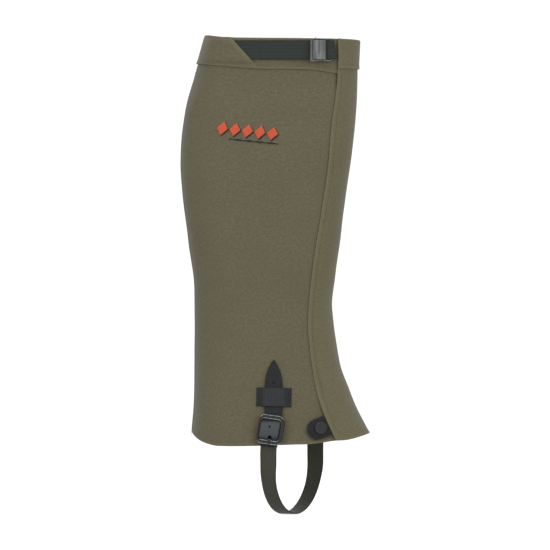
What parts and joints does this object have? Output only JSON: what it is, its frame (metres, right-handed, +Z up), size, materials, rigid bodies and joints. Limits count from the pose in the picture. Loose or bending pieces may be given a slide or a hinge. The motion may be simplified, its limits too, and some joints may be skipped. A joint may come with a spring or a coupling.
{
  "type": "leg gaiter",
  "caption": "Knee-high cloth hunting gaiter for the right leg, with a front storm flap, a cinch strap with cam buckle, and a buckled instep strap.",
  "frame": {"origin": "on the leg's axis at the height of the bottom hem", "axes": "+Z up the leg, +X towards the shin and toe, -Y towards the outer (lateral) side of the right leg"},
  "size_m": [0.1973, 0.1033, 0.5054],
  "materials": {
    "shell_cloth": "brushed matte cloth, olive brown",
    "lining_tape": "matte woven tape",
    "closure_black": "hook-and-loop pile",
    "webbing_green": "ribbed nylon webbing, dark grey-green",
    "webbing_black": "ribbed nylon webbing, black",
    "leather_black": "smooth black leather",
    "strap_olive": "coated strap leather, dark olive",
    "satin_metal": "satin nickel",
    "black_enamel": "gloss black enamel",
    "emblem_thread": "satin-stitched thread, orange red"
  },
  "bodies": {
    "shell": {"lateral_panel": "shell_cloth", "medial_panel": "shell_cloth", "top_band_rear": "shell_cloth", "top_band_front": "shell_cloth", "top_band_medial": "shell_cloth", "back_seam_tape": "lining_tape", "hem_facing_lateral": "lining_tape", "hem_facing_medial": "lining_tape", "loop_strip": "closure_black", "embroidered_emblem": "emblem_thread", "cinch_anchor_webbing": "webbing_green", "cam_frame": "satin_metal", "cam_pin": "satin_metal", "snap_stud": "satin_metal", "snap_stud_back": "satin_metal", "strap_keeper": "webbing_black", "buckle_chape": "leather_black", "instep_strap": "strap_olive", "medial_strap_patch": "leather_black", "strap_rivet_1": "satin_metal", "strap_rivet_2": "satin_metal", "rivet_burr_1": "satin_metal", "rivet_burr_2": "satin_metal", "lace_hook": "satin_metal", "lace_hook_patch": "leather_black", "lace_hook_rivet": "satin_metal"},
    "flap": {"front_flap": "shell_cloth", "flap_top_band": "shell_cloth", "hook_strip": "closure_black"},
    "snap": {"snap_tab": "leather_black", "snap_cap": "black_enamel", "snap_socket": "satin_metal"},
    "lever": {"cam_lever": "satin_metal"},
    "cinch": {"cinch_strap": "webbing_green"},
    "buckle": {"instep_buckle_frame": "black_enamel"},
    "prong": {"buckle_prong": "black_enamel"}
  },
  "joints": [
    {"name": "flap_hinge", "type": "hinge", "parent": "shell", "child": "flap", "pos_m": [0.0805, -0.043, 0], "axis": [0.0012, 0.0266, 0.9996], "range_deg": [0, 110]},
    {"name": "snap_hinge", "type": "hinge", "parent": "flap", "child": "snap", "pos_m": [0.05597, -0.04604, 0.02316], "axis": [-0.3875, 0.0701, 0.9192], "range_deg": [0, 60]},
    {"name": "cam_hinge", "type": "hinge", "parent": "shell", "child": "lever", "pos_m": [0.043, -0.04467, 0.41795], "axis": [0, 0.0051, -1], "range_deg": [0, 75]},
    {"name": "cinch_slide", "type": "slide", "parent": "shell", "child": "cinch", "axis": [-0.9994, 0.035, 0.0002], "range_m": [0, 0.006]},
    {"name": "buckle_rock", "type": "hinge", "parent": "shell", "child": "buckle", "pos_m": [-0.004, -0.04635, 0.01786], "axis": [0.9903, -0.0106, -0.1388], "range_deg": [-2, 2]},
    {"name": "prong_lift", "type": "hinge", "parent": "buckle", "child": "prong", "pos_m": [-0.004, -0.04635, 0.01786], "axis": [-0.9903, 0.0106, 0.1388], "range_deg": [0, 4]}
  ]
}
